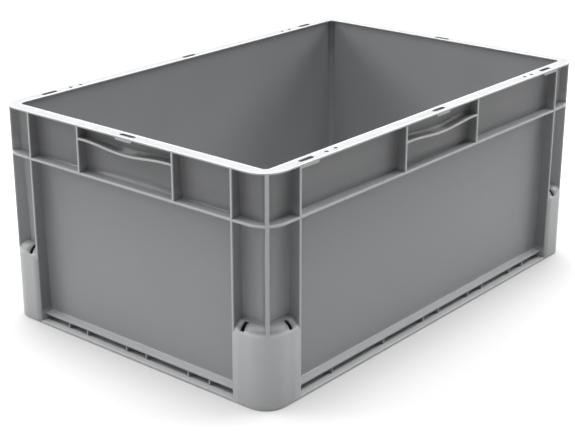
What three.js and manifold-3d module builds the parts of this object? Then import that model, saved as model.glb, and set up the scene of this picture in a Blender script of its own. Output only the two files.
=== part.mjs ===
// Rigid stacking container, 600 x 400 x 257 mm, injection moulded in grey polypropylene.
// Open top with a flat rim, drafted plain walls, upright ribs at the corners, one horizontal
// stiffening rib all round, a shell grip in each side, hollow corner feet and a double base.
// The real container is two mouldings, the tub and the base plate. The tub is drawn here as its
// own members, each a closed body, with a hairline gap wherever the plastic runs through.
// Millimetres, +Z up, X along the long sides, origin at the middle of the underside.

import * as THREE from "three";
import { mergeVertices } from "three/addons/utils/BufferGeometryUtils.js";
import Module from "manifold-3d";

const wasm = await Module();
wasm.setup();

// Overall
const LENGTH = 600;
const WIDTH = 400;
const HEIGHT = 257;
const GAP = 0.3; // hairline between neighbouring bodies
const OUTER_RADIUS = 27; // upright corners of rim, ribs and feet
const ARC_STEPS = 8; // facets in a quarter turn
const WELD = 0.2; // bodies joined into one piece run into each other by at least this
const CLEAR = 1; // a cutting shape runs past the faces it cuts by this

// Walls
const WALL_DEPTH = 12; // from the outer planes to the wall's outer face, at the rim
const WALL_THICK = 2.35;
const WALL_DRAFT = Math.tan(THREE.MathUtils.degToRad(1.2));
const INNER_RADIUS = 6;

// Rim, its lashing slots and its pin holes
const RIM_THICK = 1.8;
const SLOT_LENGTH = 22;
const SLOT_WIDTH = 5.5;
const SLOT_X = 232.5; // middle of the slots near the corners of the long sides
const COLLAR_DROP = 2.9; // the collar round a slot hangs this far below the rim
const COLLAR_HALF = 14.4;
const COLLAR_TAPER = 2.6;
const COLLAR_DEPTHS = [0.5, 11.5];
const PIN_HOLE_X = [185, 200];
const PIN_HOLE_RADIUS = 2.25;

// Ribs
const RIB_THICK = 2.4;
const CORNER_RIB_X = 250; // middle of the corner ribs on the long sides
const CORNER_RIB_Y = 151.7; // and on the ends
const DIAGONAL_RIB_WIDTH = 4.2;
const BELT_Z = 200.6; // underside of the horizontal rib
const GRIP_RIB_LONG = 70.5;
const GRIP_RIB_END = 71.2;

// Grip bars: height of the underside beside the grip ribs, and how far the middle sags
const BAR_THICK = 2.2;
const BAR_LONG = { z: 235.1, sag: 3.8 };
const BAR_END = { z: 240.4, sag: 4.4 };
const BAR_SAG_HALF = 64;
const COVE_RISE = { side: 3.2, middle: 8.5 }; // thickening behind the belt rib under the end grips

// Feet and double base
const FOOT_SKIN = 2.4;
const FOOT_EDGE = 0.8; // chamfer round the sole
const SHOULDER_Z = 80;
const SHOULDER_RISE = 12.8;
const SHOULDER_DEPTH = 13.2;
const DRAIN_SLOT = { along: 36.5, width: 5.4, from: 0.6, to: 10 };
const DRAIN_HOLE_RADIUS = 3;
const POST_RIB_END = 24.8; // the diagonal rib, from the square corner to inside the corner wall
const FOOT_RIB_END = 24.8; // the foot's stretch of it stops short of the corner wall
const RIB_START = 4;
const PLATE_THICK = 3.2;
const FLANGE_DEPTH = 7; // the base flange stands back from the outer planes
const FLANGE_Z = 9.5;
const FLANGE_THICK = 1.9;
const FLOOR_THICK = 2.5;
const WEB_THICK = 2;
const SKIRT_THICK = 2;
const PAIR = 15.5; // half the spacing of a pair of webs
const PITCH = 95; // from one pair to the next
const LONE_WEBS = [-187, -93.5];
const UNDERFLOOR_CLEAR = 18; // the underfloor ribs stop this far behind the outer planes

const polypropylene = () =>
  new THREE.MeshStandardMaterial({ color: 0x8c8f91, roughness: 0.55, metalness: 0 });

// Depth of the wall's outer face behind the outer plane, at a height: it grows downwards
const wallDepth = (z) => WALL_DEPTH + (HEIGHT - z) * WALL_DRAFT;
const FLOOR_TOP = FLANGE_Z + FLOOR_THICK;
const WALL_BOTTOM = FLOOR_TOP + GAP;
const RIM_BOTTOM = HEIGHT - RIM_THICK;
const WALL_TOP = RIM_BOTTOM - GAP;
const BELT_TOP = BELT_Z + RIB_THICK;
const SHOULDER_TOP = SHOULDER_Z + SHOULDER_RISE;
const RIM_WIDTH = WALL_DEPTH + WALL_THICK;

// --- solids ---

function solid(geometry) {
  const bare = geometry.clone();
  bare.deleteAttribute("normal");
  bare.deleteAttribute("uv");
  const merged = mergeVertices(bare, 1e-4);
  return new wasm.Manifold(
    new wasm.Mesh({
      numProp: 3,
      vertProperties: new Float32Array(merged.attributes.position.array),
      triVerts: new Uint32Array(merged.index.array),
    }),
  );
}

function box(low, high) {
  const size = high.map((h, i) => h - low[i]);
  const middle = high.map((h, i) => (h + low[i]) / 2);
  return solid(new THREE.BoxGeometry(...size).translate(...middle));
}

function cylinder(x, y, radius, z0, z1) {
  const geometry = new THREE.CylinderGeometry(radius, radius, z1 - z0, 16);
  return solid(geometry.rotateX(Math.PI / 2).translate(x, y, (z0 + z1) / 2));
}

// A plan outline raised from z0 to z1
function upright(points, z0, z1) {
  const shape = new THREE.Shape(points);
  const geometry = new THREE.ExtrudeGeometry(shape, { depth: z1 - z0, bevelEnabled: false });
  return solid(geometry.translate(0, 0, z0));
}

// A (y, z) outline carried along x from x0 to x1
const ALONG_X = new THREE.Matrix4().makeBasis(
  new THREE.Vector3(0, 1, 0),
  new THREE.Vector3(0, 0, 1),
  new THREE.Vector3(1, 0, 0),
);
function lengthways(points, x0, x1) {
  const shape = new THREE.Shape(points.map(([y, z]) => new THREE.Vector2(y, z)));
  const geometry = new THREE.ExtrudeGeometry(shape, { depth: x1 - x0, bevelEnabled: false });
  return solid(geometry.translate(0, 0, x0).applyMatrix4(ALONG_X));
}

// A skin over rings of equal counts, anticlockwise and rising, closed with flat ends.
// Each ring is { at, points }, and place turns (a, b, at) into x, y, z.
function loft(rings, place = (a, b, at) => [a, b, at]) {
  const count = rings[0].points.length;
  const vertices = rings.flatMap(({ at, points }) => points.flatMap((p) => place(p.x, p.y, at)));
  const faces = [];
  for (let r = 0; r + 1 < rings.length; r++) {
    for (let i = 0; i < count; i++) {
      const a = r * count + i;
      const b = r * count + ((i + 1) % count);
      faces.push(a, b, b + count, a, b + count, a + count);
    }
  }
  const last = (rings.length - 1) * count;
  for (const [i, j, k] of THREE.ShapeUtils.triangulateShape(rings[0].points, [])) {
    faces.push(k, j, i);
  }
  for (const [i, j, k] of THREE.ShapeUtils.triangulateShape(rings.at(-1).points, [])) {
    faces.push(last + i, last + j, last + k);
  }
  const geometry = new THREE.BufferGeometry();
  geometry.setAttribute("position", new THREE.Float32BufferAttribute(vertices, 3));
  geometry.setIndex(faces);
  return solid(geometry);
}

const alongSide = (a, b, at) => [at, a, b];
const join = (...parts) => parts.reduce((whole, part) => whole.add(part));
const cut = (whole, ...tools) => tools.reduce((left, tool) => left.subtract(tool), whole);

const crate = new THREE.Group();
crate.name = "stacking_container";

function meshOf(name, made) {
  const { vertProperties, triVerts } = made.getMesh();
  const geometry = new THREE.BufferGeometry();
  geometry.setAttribute("position", new THREE.BufferAttribute(vertProperties, 3));
  geometry.setIndex(new THREE.BufferAttribute(triVerts, 1));
  geometry.computeVertexNormals();
  const mesh = new THREE.Mesh(geometry, polypropylene());
  mesh.name = name;
  return mesh;
}

// --- the four corners ---
// Drawn for the corner at low x and low y, with u and v counted inwards from the two outer
// planes, and mirrored to the others.

const U_RIB = LENGTH / 2 - CORNER_RIB_X;
const V_RIB = WIDTH / 2 - CORNER_RIB_Y;
const U_END = U_RIB + RIB_THICK / 2;
const V_END = V_RIB + RIB_THICK / 2;
const WALL_RADIUS = INNER_RADIUS + WALL_THICK;

// The line at a depth behind both outer planes, from the long side round to the end
function cornerLine(depth, radius, uEnd, vEnd) {
  const centre = depth + radius;
  const line = [new THREE.Vector2(uEnd, depth)];
  for (let i = 0; i <= ARC_STEPS; i++) {
    const angle = -Math.PI / 2 - (i / ARC_STEPS) * (Math.PI / 2);
    line.push(
      new THREE.Vector2(centre + radius * Math.cos(angle), centre + radius * Math.sin(angle)),
    );
  }
  line.push(new THREE.Vector2(depth, vEnd));
  return line;
}

// The band between two corner lines, anticlockwise
const cornerBand = (outer, inner) => [...inner, ...outer.reverse()];
const outerLine = (inset, uEnd = U_END, vEnd = V_END) =>
  cornerLine(inset, OUTER_RADIUS - inset, uEnd, vEnd);
const wallLine = (z, extra = 0) =>
  cornerLine(wallDepth(z) + extra, WALL_RADIUS - extra, U_END, V_END);

// A flat rib square to the long side, reaching from the outer plane to beyond the wall's face
function ribOnLongSide(z0, z1, extra) {
  const face = [
    [0, z0],
    [wallDepth(z0) + extra, z0],
    [wallDepth(z1) + extra, z1],
    [0, z1],
  ];
  return lengthways(face, U_RIB - RIB_THICK / 2, U_END);
}

// The same rib on the end
function ribOnEnd(z0, z1, extra) {
  const low = V_RIB - RIB_THICK / 2;
  const ring = (z) => ({
    at: z,
    points: [
      new THREE.Vector2(0, low),
      new THREE.Vector2(wallDepth(z) + extra, low),
      new THREE.Vector2(wallDepth(z) + extra, V_END),
      new THREE.Vector2(0, V_END),
    ],
  });
  return loft([ring(z0), ring(z1)]);
}

// The rib on the diagonal, between two distances from the square corner, trimmed to the arc
function diagonalRib(z0, z1, farEnd) {
  const half = DIAGONAL_RIB_WIDTH / 2;
  const turn = (along, across) =>
    new THREE.Vector2(along - across, along + across).multiplyScalar(Math.SQRT1_2);
  const blade = [
    turn(RIB_START, -half),
    turn(farEnd, -half),
    turn(farEnd, half),
    turn(RIB_START, half),
  ];
  const inside = [...outerLine(0), new THREE.Vector2(U_END, V_END)].reverse();
  return upright(blade, z0, z1).intersect(upright(inside, z0 - CLEAR, z1 + CLEAR));
}

// Corner post: the tub's drafted corner wall with two side ribs, the diagonal rib and its
// stretch of the horizontal rib. It stands on the floor panel, behind the foot.
function cornerPost() {
  const wallRing = (z) => ({
    at: z,
    points: cornerBand(wallLine(z), cornerLine(wallDepth(z) + WALL_THICK, INNER_RADIUS, U_END, V_END)),
  });
  const belt = upright(
    cornerBand(outerLine(0), wallLine(BELT_Z, WALL_THICK / 2)),
    BELT_Z,
    BELT_TOP,
  );
  const low = SHOULDER_TOP + WELD + GAP;
  return join(
    loft([wallRing(WALL_BOTTOM), wallRing(WALL_TOP)]),
    belt,
    ribOnLongSide(low, WALL_TOP, WALL_THICK / 2),
    ribOnEnd(low, WALL_TOP, WALL_THICK / 2),
    diagonalRib(low, WALL_TOP, POST_RIB_END),
  );
}

// The rounded shoulder that closes a foot: inset and height of the skin at a share of the turn
const shoulder = (share, thick) => ({
  inset: thick + SHOULDER_DEPTH * (1 - Math.cos((share * Math.PI) / 2)),
  z: SHOULDER_Z + (SHOULDER_RISE - thick) * Math.sin((share * Math.PI) / 2),
});

// Corner foot: a hollow shell flush with the ribs, closed by a rounded shoulder with two drain
// slots across it, and by a sole with one drain hole.
function foot() {
  const shares = [0, 1, 2, 3, 4, 5, 6].map((i) => i / 6);
  const outerRing = ({ inset, z }) => ({
    at: z,
    points: cornerBand(outerLine(inset), wallLine(z, -GAP)),
  });
  const body = loft([
    outerRing({ inset: FOOT_EDGE, z: 0 }),
    outerRing({ inset: 0, z: FOOT_EDGE }),
    ...shares.map((share) => outerRing(shoulder(share, 0))),
  ]);
  const uIn = U_RIB - RIB_THICK / 2;
  const vIn = V_RIB - RIB_THICK / 2;
  const hollowRing = ({ inset, z }) => ({
    at: z,
    points: cornerBand(
      outerLine(inset, uIn, vIn),
      cornerLine(wallDepth(z) + 2 * WALL_THICK, WALL_RADIUS, uIn, vIn),
    ),
  });
  const hollow = loft([
    hollowRing({ inset: FOOT_SKIN, z: PLATE_THICK }),
    ...shares.map((share) => hollowRing(shoulder(share, FOOT_SKIN))),
  ]);
  const ribTop = SHOULDER_TOP + WELD;
  const { along, width, from, to } = DRAIN_SLOT;
  const slotZ = [SHOULDER_Z + 2, SHOULDER_TOP + CLEAR];
  const low = along - width / 2;
  const high = along + width / 2;
  const shell = join(
    cut(body, hollow),
    ribOnLongSide(FOOT_EDGE, ribTop, -GAP),
    ribOnEnd(FOOT_EDGE, ribTop, -GAP),
    diagonalRib(SHOULDER_Z - FOOT_SKIN / 2, ribTop, FOOT_RIB_END),
    box([wallDepth(0) - WELD, wallDepth(0) - WELD, 0], [U_END, V_END, PLATE_THICK]),
  );
  return cut(
    shell,
    box([low, from, slotZ[0]], [high, to, slotZ[1]]),
    box([from, low, slotZ[0]], [to, high, slotZ[1]]),
    cylinder(OUTER_RADIUS / 2, OUTER_RADIUS / 2, DRAIN_HOLE_RADIUS, -CLEAR, PLATE_THICK + CLEAR),
  );
}

const corners = {
  front_left: [-1, -1],
  front_right: [1, -1],
  back_left: [-1, 1],
  back_right: [1, 1],
};
const postShape = cornerPost();
const footShape = foot();
for (const [where, [sx, sy]] of Object.entries(corners)) {
  for (const [kind, made] of [["corner_post", postShape], ["foot", footShape]]) {
    const mesh = meshOf(`${kind}_${where}`, made);
    mesh.position.set((sx * LENGTH) / 2, (sy * WIDTH) / 2, 0);
    mesh.scale.set(-sx, -sy, 1);
    crate.add(mesh);
  }
}

// --- the four sides ---
// Drawn with x along the side from its middle, y inwards from the outer plane, and turned
// into place.

// Rim rail: the flat top of one side, mitred at the corners, with slots, collars and pin holes
function rimRail(half, slots, holes) {
  const corner = (radius, depth) => {
    const centre = depth + radius;
    const stop = Math.PI / 4 - GAP / 2 / radius;
    const line = [];
    for (let i = 0; i <= ARC_STEPS / 2; i++) {
      const angle = (i / (ARC_STEPS / 2)) * stop;
      line.push([half - centre + radius * Math.sin(angle), centre - radius * Math.cos(angle)]);
    }
    return line;
  };
  const outer = corner(OUTER_RADIUS, 0);
  const inner = corner(INNER_RADIUS, RIM_WIDTH);
  const right = [...outer, ...inner.reverse()];
  const left = [...right].reverse().map(([x, y]) => [-x, y]);
  const outline = [...right, ...left].map(([x, y]) => new THREE.Vector2(x, y));
  const collars = slots.map((at) => collar(at, half));
  const slotTools = slots.map((at) => slotTool(at));
  const holeTools = holes.map((at) =>
    cylinder(at, RIM_WIDTH / 2, PIN_HOLE_RADIUS, RIM_BOTTOM - CLEAR, HEIGHT + CLEAR),
  );
  return cut(join(upright(outline, RIM_BOTTOM, HEIGHT), ...collars), ...slotTools, ...holeTools);
}

// Collar: the block under a slot, its ends sloping in; beside a corner rib it stops at the rib
function collar(at, half) {
  const rib = half - U_END - GAP;
  const reach = (side) => (at * side > 0 ? rib - Math.abs(at) : COLLAR_HALF);
  const taper = (side) => (at * side > 0 ? 0 : COLLAR_TAPER);
  const low = RIM_BOTTOM - COLLAR_DROP;
  const face = [
    new THREE.Vector2(at - reach(-1) + taper(-1), low),
    new THREE.Vector2(at + reach(1) - taper(1), low),
    new THREE.Vector2(at + reach(1), RIM_BOTTOM + WELD),
    new THREE.Vector2(at - reach(-1), RIM_BOTTOM + WELD),
  ];
  const [front, back] = COLLAR_DEPTHS;
  const rings = [-back, -front].map((depth) => ({ at: depth, points: face }));
  return loft(rings, (a, b, depth) => [a, -depth, b]);
}

// The obround tool that cuts a slot
function slotTool(at) {
  const r = SLOT_WIDTH / 2;
  const straight = SLOT_LENGTH / 2 - r;
  const shape = new THREE.Path();
  shape.absarc(at + straight, RIM_WIDTH / 2, r, -Math.PI / 2, Math.PI / 2);
  shape.absarc(at - straight, RIM_WIDTH / 2, r, Math.PI / 2, (3 * Math.PI) / 2);
  const outline = shape.getPoints(6).slice(0, -1);
  return upright(outline, RIM_BOTTOM - COLLAR_DROP - CLEAR, HEIGHT + CLEAR);
}

// Wall panel: the plain drafted wall between two corner posts
function wallPanel(reach) {
  const face = (z, extra) => [wallDepth(z) + extra, z];
  return lengthways(
    [
      face(WALL_BOTTOM, 0),
      face(WALL_BOTTOM, WALL_THICK),
      face(WALL_TOP, WALL_THICK),
      face(WALL_TOP, 0),
    ],
    -reach,
    reach,
  );
}

// Belt rib: the horizontal stiffening rib between two corner posts. Under an end grip its
// upper side rises to the wall in a cove, highest in the middle.
function beltRib(reach, coveHalf) {
  const back = wallDepth(BELT_TOP) - GAP;
  const rib = box([-reach, 0, BELT_Z], [reach, back, BELT_TOP]);
  if (!coveHalf) return rib;
  const rings = [];
  const steps = 10;
  for (let i = 0; i <= steps; i++) {
    const x = coveHalf * ((2 * i) / steps - 1);
    const rise = COVE_RISE.side + (COVE_RISE.middle - COVE_RISE.side) * (1 - (x / coveHalf) ** 2);
    const top = wallDepth(BELT_TOP + rise) - GAP;
    const arc = [0, 1, 2, 3].map((k) => {
      const angle = (k / 3) * (Math.PI / 2);
      return new THREE.Vector2(
        top - rise * Math.cos(angle) ** 2,
        BELT_TOP - WELD + rise * (1 - Math.cos(angle)),
      );
    });
    const corner = new THREE.Vector2(back, BELT_TOP - WELD);
    rings.push({ at: x, points: [corner, ...arc.reverse()] });
  }
  return join(rib, loft(rings, alongSide));
}

// Grip rib: a short upright rib from the belt rib to the rim, one at each end of a grip
function gripRib(at) {
  const low = BELT_TOP + GAP;
  const face = [
    [0, low],
    [wallDepth(low) - GAP, low],
    [wallDepth(WALL_TOP) - GAP, WALL_TOP],
    [0, WALL_TOP],
  ];
  return lengthways(face, at - RIB_THICK / 2, at + RIB_THICK / 2);
}

// Grip bar: the sagging lip between the two grip ribs that the fingers pull up against
function gripBar(reach, { z, sag }) {
  const steps = 16;
  const rings = [];
  for (let i = 0; i <= steps; i++) {
    const x = reach * ((2 * i) / steps - 1);
    const share = Math.min(Math.abs(x) / BAR_SAG_HALF, 1);
    const low = z - sag * 0.5 * (1 + Math.cos(Math.PI * share));
    const back = wallDepth(z + BAR_THICK) - GAP;
    rings.push({
      at: x,
      points: [
        new THREE.Vector2(0, low),
        new THREE.Vector2(back, low),
        new THREE.Vector2(back, low + BAR_THICK),
        new THREE.Vector2(0, low + BAR_THICK),
      ],
    });
  }
  return loft(rings, alongSide);
}

// Base rail: the flange round the tub's floor between two feet, with upright webs down to the
// base plate. The openings between webs are closed behind by a skirt, except inside a pair.
function baseRail(reach, webs, pairMiddles) {
  const back = wallDepth(WALL_BOTTOM) - GAP;
  const flange = lengthways(
    [
      [FLANGE_DEPTH, FLANGE_Z],
      [back, FLANGE_Z],
      [back, FLOOR_TOP],
      [FLANGE_DEPTH, FLANGE_Z + FLANGE_THICK],
    ],
    -reach,
    reach,
  );
  const foot = PLATE_THICK + GAP;
  const head = FLANGE_Z + WELD;
  const half = WEB_THICK / 2;
  const webSolids = webs.map((x) => box([x - half, FLANGE_DEPTH, foot], [x + half, back, head]));
  const skirt = box([-reach, back - SKIRT_THICK, foot], [reach, back, head]);
  const doors = pairMiddles.map((x) =>
    box([x - PAIR + half, 0, 0], [x + PAIR - half, back + CLEAR, FLANGE_Z]),
  );
  return join(flange, ...webSolids, cut(skirt, ...doors));
}

const pairs = (middles) => middles.flatMap((m) => [m - PAIR, m + PAIR]);
const longReach = CORNER_RIB_X - RIB_THICK / 2 - GAP;
const endReach = CORNER_RIB_Y - RIB_THICK / 2 - GAP;
const longSide = {
  half: LENGTH / 2,
  reach: longReach,
  slots: [-SLOT_X, 0, SLOT_X],
  holes: PIN_HOLE_X.flatMap((x) => [-x, x]),
  grip: GRIP_RIB_LONG,
  bar: BAR_LONG,
  cove: false,
  webs: [...LONE_WEBS, ...pairs([0, PITCH, 2 * PITCH])],
  pairMiddles: [0, PITCH, 2 * PITCH],
};
const endSide = {
  half: WIDTH / 2,
  reach: endReach,
  slots: [0],
  holes: [],
  grip: GRIP_RIB_END,
  bar: BAR_END,
  cove: true,
  webs: pairs([-PITCH, 0, PITCH]),
  pairMiddles: [-PITCH, 0, PITCH],
};

function sideMeshes(where, side) {
  const clear = side.grip - RIB_THICK / 2 - GAP;
  return [
    meshOf(`rim_${where}`, rimRail(side.half, side.slots, side.holes)),
    meshOf(`wall_${where}`, wallPanel(side.reach)),
    meshOf(`belt_rib_${where}`, beltRib(side.reach, side.cove ? clear : 0)),
    meshOf(`grip_rib_${where}_1`, gripRib(-side.grip)),
    meshOf(`grip_rib_${where}_2`, gripRib(side.grip)),
    meshOf(`grip_bar_${where}`, gripBar(clear, side.bar)),
    meshOf(`base_rail_${where}`, baseRail(side.reach, side.webs, side.pairMiddles)),
  ];
}

const sides = [
  ["front", longSide, 0, 0, -WIDTH / 2],
  ["back", longSide, Math.PI, 0, WIDTH / 2],
  ["left", endSide, -Math.PI / 2, -LENGTH / 2, 0],
  ["right", endSide, Math.PI / 2, LENGTH / 2, 0],
];
for (const [where, side, turn, x, y] of sides) {
  const group = new THREE.Group();
  group.rotation.z = turn;
  group.position.set(x, y, 0);
  group.add(...sideMeshes(where, side));
  crate.add(group);
}

// --- the bottom ---

// Floor panel: the tub's floor, with the same corner radius as the walls' outer face
const floorHalf = [LENGTH / 2, WIDTH / 2].map((half) => half - wallDepth(FLOOR_TOP));
function floorPanel() {
  const [hx, hy] = floorHalf;
  const shape = new THREE.Path();
  const r = WALL_RADIUS;
  [[1, 1], [-1, 1], [-1, -1], [1, -1]].forEach(([sx, sy], i) => {
    const from = (i * Math.PI) / 2;
    shape.absarc(sx * (hx - r), sy * (hy - r), r, from, from + Math.PI / 2);
  });
  return upright(shape.getPoints(4).slice(0, -1), FLANGE_Z, FLOOR_TOP);
}

// Underfloor ribs: the grid between the floor and the base plate, in line with the webs
function underfloorRibs() {
  const hx = LENGTH / 2 - UNDERFLOOR_CLEAR;
  const hy = WIDTH / 2 - UNDERFLOOR_CLEAR;
  const low = PLATE_THICK + GAP;
  const high = FLANGE_Z - GAP;
  const half = WEB_THICK / 2;
  const across = pairs([-2 * PITCH, -PITCH, 0, PITCH, 2 * PITCH]);
  const along = pairs([-PITCH, 0, PITCH]);
  return join(
    ...across.map((x) => box([x - half, -hy, low], [x + half, hy, high])),
    ...along.map((y) => box([-hx, y - half, low], [hx, y + half, high])),
  );
}

// Base plate: flat underside of the double base, running out to the outer planes between feet
function basePlate() {
  const x = longReach;
  const y = endReach;
  const hx = LENGTH / 2;
  const hy = WIDTH / 2;
  const quarter = [[hx, y], [x, y], [x, hy]];
  const outline = [
    ...quarter,
    ...quarter.map(([a, b]) => [-a, b]).reverse(),
    ...quarter.map(([a, b]) => [-a, -b]),
    ...quarter.map(([a, b]) => [a, -b]).reverse(),
  ].map(([a, b]) => new THREE.Vector2(a, b));
  return upright(outline, 0, PLATE_THICK);
}

crate.add(
  meshOf("floor_panel", floorPanel()),
  meshOf("underfloor_ribs", underfloorRibs()),
  meshOf("base_plate", basePlate()),
);

export default crate;
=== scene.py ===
"""Rigid stacking container in grey polypropylene, 600 x 400 x 257 mm, built round its CAD frame."""

import math

import bmesh
import bpy
import numpy as np
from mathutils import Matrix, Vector


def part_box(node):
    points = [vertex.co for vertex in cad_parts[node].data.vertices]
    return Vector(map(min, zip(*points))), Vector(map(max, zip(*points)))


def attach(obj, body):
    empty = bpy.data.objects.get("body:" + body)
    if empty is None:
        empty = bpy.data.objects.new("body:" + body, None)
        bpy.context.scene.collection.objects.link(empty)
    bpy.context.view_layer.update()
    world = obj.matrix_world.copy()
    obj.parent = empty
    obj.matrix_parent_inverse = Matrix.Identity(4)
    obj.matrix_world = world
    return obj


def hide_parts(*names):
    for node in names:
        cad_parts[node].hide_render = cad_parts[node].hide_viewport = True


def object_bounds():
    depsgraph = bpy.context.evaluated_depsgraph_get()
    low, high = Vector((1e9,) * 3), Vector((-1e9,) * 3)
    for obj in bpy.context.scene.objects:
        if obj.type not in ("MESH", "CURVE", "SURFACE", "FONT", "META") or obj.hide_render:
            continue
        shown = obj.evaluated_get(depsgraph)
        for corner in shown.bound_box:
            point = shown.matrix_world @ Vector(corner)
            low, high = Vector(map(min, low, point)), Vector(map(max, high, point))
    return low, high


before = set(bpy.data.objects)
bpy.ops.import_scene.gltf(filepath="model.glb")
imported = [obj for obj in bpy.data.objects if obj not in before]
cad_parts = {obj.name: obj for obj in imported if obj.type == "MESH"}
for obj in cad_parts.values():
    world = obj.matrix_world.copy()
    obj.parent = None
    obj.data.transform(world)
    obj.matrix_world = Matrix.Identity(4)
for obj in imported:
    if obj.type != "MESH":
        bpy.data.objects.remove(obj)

cad_box = [list(corner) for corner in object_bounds()]
MM = 0.001

# --- Camera ---------------------------------------------------------------------------------
# A long lens well back from the near left corner, looking down on the open top by 20 degrees.

camera = bpy.data.objects.new("camera", bpy.data.cameras.new("camera"))
bpy.context.scene.collection.objects.link(camera)
bpy.context.scene.camera = camera
camera.location = (-1.2319, -1.0067, 0.6778)
CAMERA_AIM = Vector((-0.1912, -0.1332, 0.1713))
camera.data.sensor_width = 36
camera.data.lens = 85.70
camera.rotation_mode = "QUATERNION"
camera.rotation_quaternion = (CAMERA_AIM - camera.location).to_track_quat("-Z", "Y")

# --- Studio ---------------------------------------------------------------------------------
# A pale floor under a wide lamp straight overhead, and a long softbox that curves round behind the
# container. They are so strong that level faces come out nearly white, while the upright faces are
# lit by the floor and by a soft glow from the left.

bpy.context.scene.view_settings.view_transform = "Standard"

LAMP_STRENGTH = 5.2
LAMP_WIDTH = math.radians(40)
SOFTBOX_STRENGTH = 8.0
SOFTBOX_LOW = math.sin(math.radians(20))
SOFTBOX_HIGH = math.sin(math.radians(45))
FILL_STRENGTH = 0.1
LEFT_GLOW = 0.55
FLOOR_HALF = 30.0
FLOOR_TINT = "acacac"
MERGE_WITHIN = 1e-7


def linear(colour):
    """sRGB hex to linear RGBA: c / 12.92 up to 0.04045, and ((c + 0.055) / 1.055) ** 2.4 above."""
    parts = [int(colour[i:i + 2], 16) / 255 for i in (0, 2, 4)]
    return (*[c / 12.92 if c <= 0.04045 else ((c + 0.055) / 1.055) ** 2.4 for c in parts], 1.0)


def add_node(tree, kind, inputs=None, **settings):
    """Adds a node with its own settings; inputs gives each socket a value or a socket to link."""
    made = tree.nodes.new(kind)
    for name, value in settings.items():
        setattr(made, name, value)
    for socket, value in (inputs or {}).items():
        if isinstance(value, bpy.types.NodeSocket):
            tree.links.new(value, made.inputs[socket])
        else:
            made.inputs[socket].default_value = value
    return made


def grid_faces(rows, columns, closed_rows=False, closed_columns=False):
    """Quads over rows x columns points numbered row by row; a closed direction meets its start."""
    r, c = np.meshgrid(
        np.arange(rows if closed_rows else rows - 1),
        np.arange(columns if closed_columns else columns - 1),
        indexing="ij",
    )
    r_next = (r + 1) % rows
    c_next = (c + 1) % columns
    corners = [r * columns + c, r * columns + c_next, r_next * columns + c_next, r_next * columns + c]
    return np.stack(corners, axis=-1).reshape(-1, 4)


def mesh_object(name, points, faces, material, sharp=30):
    """A mesh of points in metres, its doubles merged, smooth but for edges over sharp degrees."""
    mesh = bpy.data.meshes.new(name)
    mesh.from_pydata(np.reshape(points, (-1, 3)).tolist(), [], [list(map(int, f)) for f in faces])
    work = bmesh.new()
    work.from_mesh(mesh)
    bmesh.ops.remove_doubles(work, verts=work.verts, dist=MERGE_WITHIN)
    bmesh.ops.recalc_face_normals(work, faces=work.faces)
    work.to_mesh(mesh)
    work.free()
    mesh.shade_smooth()
    mesh.set_sharp_from_angle(angle=math.radians(sharp))
    mesh.materials.append(material)
    made = bpy.data.objects.new(name, mesh)
    bpy.context.scene.collection.objects.link(made)
    return made


floor_paint = bpy.data.materials.new("matt studio floor")
floor_paint.use_nodes = True
floor_paint.node_tree.nodes.clear()
floor_shader = add_node(
    floor_paint.node_tree, "ShaderNodeBsdfDiffuse", {"Color": linear(FLOOR_TINT)}
)
add_node(
    floor_paint.node_tree, "ShaderNodeOutputMaterial", {"Surface": floor_shader.outputs["BSDF"]}
)
floor_corners = FLOOR_HALF * np.array([[-1, -1, 0], [1, -1, 0], [1, 1, 0], [-1, 1, 0]])
studio_floor = mesh_object("studio_floor", floor_corners, [[0, 1, 2, 3]], floor_paint)

lamp = bpy.data.objects.new("overhead_lamp", bpy.data.lights.new("overhead_lamp", "SUN"))
bpy.context.scene.collection.objects.link(lamp)
lamp.data.energy = LAMP_STRENGTH
lamp.data.angle = LAMP_WIDTH

world = bpy.data.worlds.new("studio")
bpy.context.scene.world = world
world.use_nodes = True
sky = world.node_tree
sky.nodes.clear()
seen = add_node(sky, "ShaderNodeLightPath")
direction = add_node(sky, "ShaderNodeTexCoord").outputs["Generated"]
compass = add_node(sky, "ShaderNodeSeparateXYZ", {"Vector": direction})
glow = add_node(
    sky,
    "ShaderNodeMapRange",
    {
        "Value": compass.outputs["X"],
        "From Max": -1.0,
        "To Min": FILL_STRENGTH,
        "To Max": FILL_STRENGTH + LEFT_GLOW,
    },
).outputs["Result"]
behind = add_node(
    sky, "ShaderNodeVectorMath", {0: direction, 1: (1, 1, 0)}, operation="DOT_PRODUCT"
).outputs["Value"]
in_softbox = add_node(sky, "ShaderNodeMath", {0: behind, 1: 0.0}, operation="GREATER_THAN").outputs[0]
for limit, test in ((SOFTBOX_LOW, "GREATER_THAN"), (SOFTBOX_HIGH, "LESS_THAN")):
    passed = add_node(sky, "ShaderNodeMath", {0: compass.outputs["Z"], 1: limit}, operation=test)
    in_softbox = add_node(
        sky, "ShaderNodeMath", {0: in_softbox, 1: passed.outputs[0]}, operation="MULTIPLY"
    ).outputs[0]
brightness = add_node(
    sky, "ShaderNodeMath", {0: in_softbox, 1: SOFTBOX_STRENGTH, 2: glow}, operation="MULTIPLY_ADD"
).outputs[0]
backdrop = add_node(sky, "ShaderNodeBackground", {"Color": (1, 1, 1, 1), "Strength": 1.0})
fill = add_node(sky, "ShaderNodeBackground", {"Color": (1, 1, 1, 1), "Strength": brightness})
both = add_node(
    sky,
    "ShaderNodeMixShader",
    {0: seen.outputs["Is Camera Ray"], 1: fill.outputs[0], 2: backdrop.outputs[0]},
)
add_node(sky, "ShaderNodeOutputWorld", {"Surface": both.outputs[0]})

# --- Tub shell ------------------------------------------------------------------------------
# The walls and floor of the tub: one skin of injection moulded polypropylene, drafted so that
# it leaves the mould, with tight upright corners and a rounded turn into the floor.

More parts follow.
